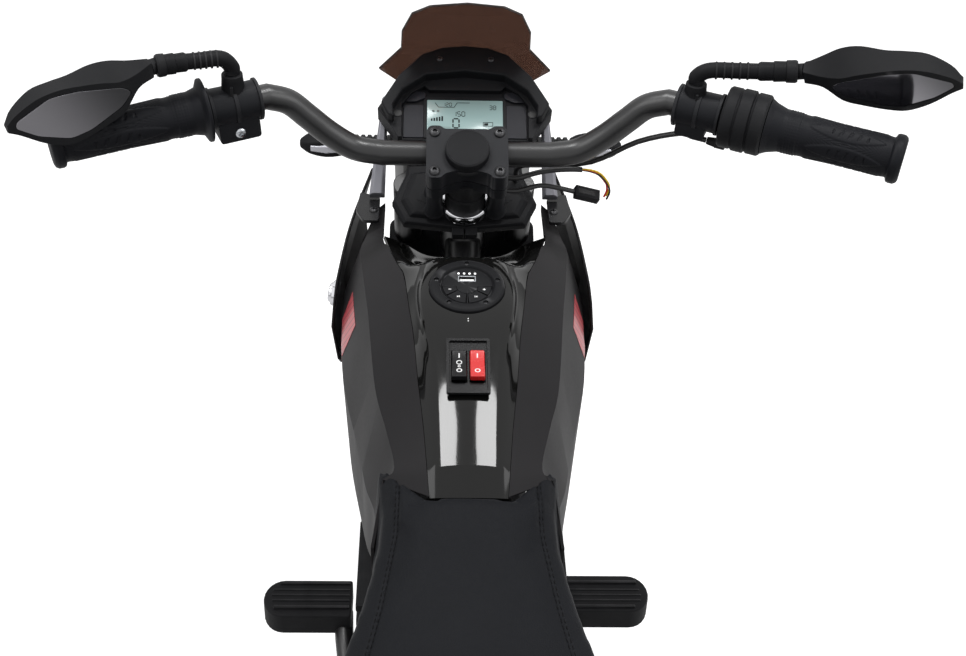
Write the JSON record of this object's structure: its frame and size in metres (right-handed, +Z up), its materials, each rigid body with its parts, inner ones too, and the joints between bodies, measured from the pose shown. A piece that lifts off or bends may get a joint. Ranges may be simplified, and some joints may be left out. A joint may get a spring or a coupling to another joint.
{
  "type": "kids ride-on motorcycle",
  "caption": "Child's electric ride-on motorcycle with spoked wheels, side stabiliser wheels, twist throttle, long saddle, dash display, screen and mirrors.",
  "frame": {"origin": "on the floor under the middle of the bounding box; the bike's own midplane is x = -0.010, because the right mirror is set further out than the left", "axes": "+Y the way it rides, +Z up, +X the rider's right"},
  "size_m": [0.6838, 1.2219, 0.7952],
  "materials": {
    "black_steel": "satin powder coat",
    "satin_plastic": "satin",
    "gloss_plastic": "high gloss",
    "charcoal_plastic": "painted, semi-gloss",
    "rubber": "matt",
    "tyre_rubber": "matt",
    "leatherette": "fine grain leatherette",
    "silver_plastic": "silver paint",
    "smoked_screen": "smoked, clear coated",
    "mirror_glass": "polished",
    "clear_lens": "clear lens",
    "red_lens": "red lens",
    "lcd": "liquid crystal display",
    "red_plastic": "gloss",
    "cable_sheath": "matt"
  },
  "bodies": {
    "chassis": {"main_frame": "black_steel", "battery_pack": "satin_plastic", "drive_unit": "satin_plastic", "left_side_panel": "charcoal_plastic", "right_side_panel": "charcoal_plastic", "left_shroud": "satin_plastic", "right_shroud": "satin_plastic", "tank_cover": "gloss_plastic", "console_module": "satin_plastic", "switch_bezel": "satin_plastic", "seat_cushion": "leatherette", "tail_cowl": "gloss_plastic", "tail_light": "red_lens", "left_footrest": "satin_plastic", "right_footrest": "satin_plastic", "left_engine_cover": "satin_plastic", "right_engine_cover": "satin_plastic", "stabiliser_bar": "black_steel", "left_fairing_stay": "silver_plastic", "right_fairing_stay": "silver_plastic", "headlamp_nacelle": "gloss_plastic", "headlight_lens": "clear_lens", "instrument_hood": "satin_plastic", "lcd_screen": "lcd", "windscreen": "smoked_screen", "left_turn_signal": "satin_plastic", "right_turn_signal": "satin_plastic"},
    "steering": {"front_fork": "black_steel", "front_mudguard": "satin_plastic", "top_yoke": "satin_plastic", "handlebar_clamp": "satin_plastic", "handlebar": "black_steel", "left_grip": "rubber", "throttle_housing": "satin_plastic", "left_mirror_clamp": "satin_plastic", "right_mirror_clamp": "satin_plastic", "throttle_cable": "cable_sheath", "sheathed_lead": "cable_sheath", "plug_lead": "cable_sheath", "lead_connector": "satin_plastic"},
    "front_wheel": {"front_tyre": "tyre_rubber", "front_rim": "silver_plastic"},
    "rear_wheel": {"rear_tyre": "tyre_rubber", "rear_rim": "silver_plastic"},
    "left_stabiliser": {"left_stabiliser_wheel": "rubber"},
    "right_stabiliser": {"right_stabiliser_wheel": "rubber"},
    "throttle": {"throttle_grip": "rubber"},
    "left_arm": {"left_mirror_arm": "satin_plastic"},
    "right_arm": {"right_mirror_arm": "satin_plastic"},
    "left_mirror": {"left_mirror_shell": "satin_plastic", "left_mirror_glass": "mirror_glass"},
    "right_mirror": {"right_mirror_shell": "satin_plastic", "right_mirror_glass": "mirror_glass"},
    "lamp_switch": {"lamp_rocker": "satin_plastic"},
    "power_switch": {"power_rocker": "red_plastic"},
    "button_1": {"console_button_1": "satin_plastic"},
    "button_2": {"console_button_2": "satin_plastic"},
    "button_3": {"console_button_3": "satin_plastic"},
    "button_4": {"console_button_4": "satin_plastic"}
  },
  "joints": [
    {"name": "steering_pivot", "type": "hinge", "parent": "chassis", "child": "steering", "pos_m": [-0.01, 0.171, 0.679], "axis": [0, -0.454, 0.891], "range_deg": [-25, 25]},
    {"name": "front_wheel_spin", "type": "hinge", "parent": "steering", "child": "front_wheel", "pos_m": [-0.01, 0.45849, 0.15441], "axis": [1, 0, 0], "continuous": true},
    {"name": "rear_wheel_spin", "type": "hinge", "parent": "chassis", "child": "rear_wheel", "pos_m": [-0.01, -0.445, 0.15441], "axis": [1, 0, 0], "continuous": true},
    {"name": "left_stabiliser_spin", "type": "hinge", "parent": "chassis", "child": "left_stabiliser", "pos_m": [-0.188, -0.4, 0.05121], "axis": [1, 0, 0], "continuous": true},
    {"name": "right_stabiliser_spin", "type": "hinge", "parent": "chassis", "child": "right_stabiliser", "pos_m": [0.168, -0.4, 0.05121], "axis": [1, 0, 0], "continuous": true},
    {"name": "throttle_twist", "type": "hinge", "parent": "steering", "child": "throttle", "pos_m": [0.142, 0.164, 0.7315], "axis": [0.9275, -0.3693, -0.0573], "range_deg": [0, 55], "stiffness_Nm_per_rad": 0.12},
    {"name": "left_mirror_swivel", "type": "hinge", "parent": "steering", "child": "left_arm", "pos_m": [-0.1875, 0.153, 0.756], "axis": [0, -0.0434, 0.9991], "range_deg": [0, 20]},
    {"name": "left_mirror_tilt", "type": "hinge", "parent": "left_arm", "child": "left_mirror", "pos_m": [-0.24382, 0.13101, 0.77071], "axis": [-0.8387, -0.5446, 0], "range_deg": [-12, 12]},
    {"name": "right_mirror_swivel", "type": "hinge", "parent": "steering", "child": "right_arm", "pos_m": [0.162, 0.156, 0.752], "axis": [0, -0.0278, 0.9996], "range_deg": [-20, 12]},
    {"name": "right_mirror_tilt", "type": "hinge", "parent": "right_arm", "child": "right_mirror", "pos_m": [0.23903, 0.14364, 0.76912], "axis": [0.9189, -0.3195, 0.2314], "range_deg": [-12, 12]},
    {"name": "lamp_switch_rock", "type": "hinge", "parent": "chassis", "child": "lamp_switch", "pos_m": [-0.0164, -0.01108, 0.60841], "axis": [1, 0, 0], "range_deg": [0, 18]},
    {"name": "power_switch_rock", "type": "hinge", "parent": "chassis", "child": "power_switch", "pos_m": [-0.0036, -0.01108, 0.60841], "axis": [1, 0, 0], "range_deg": [0, 18]},
    {"name": "button_1_press", "type": "slide", "parent": "chassis", "child": "button_1", "axis": [0, 0.1305, -0.9914], "range_m": [0, 0.001], "stiffness_N_per_m": 900},
    {"name": "button_2_press", "type": "slide", "parent": "chassis", "child": "button_2", "axis": [0, 0.1305, -0.9914], "range_m": [0, 0.001], "stiffness_N_per_m": 900},
    {"name": "button_3_press", "type": "slide", "parent": "chassis", "child": "button_3", "axis": [0, 0.1305, -0.9914], "range_m": [0, 0.001], "stiffness_N_per_m": 900},
    {"name": "button_4_press", "type": "slide", "parent": "chassis", "child": "button_4", "axis": [0, 0.1305, -0.9914], "range_m": [0, 0.001], "stiffness_N_per_m": 900}
  ]
}
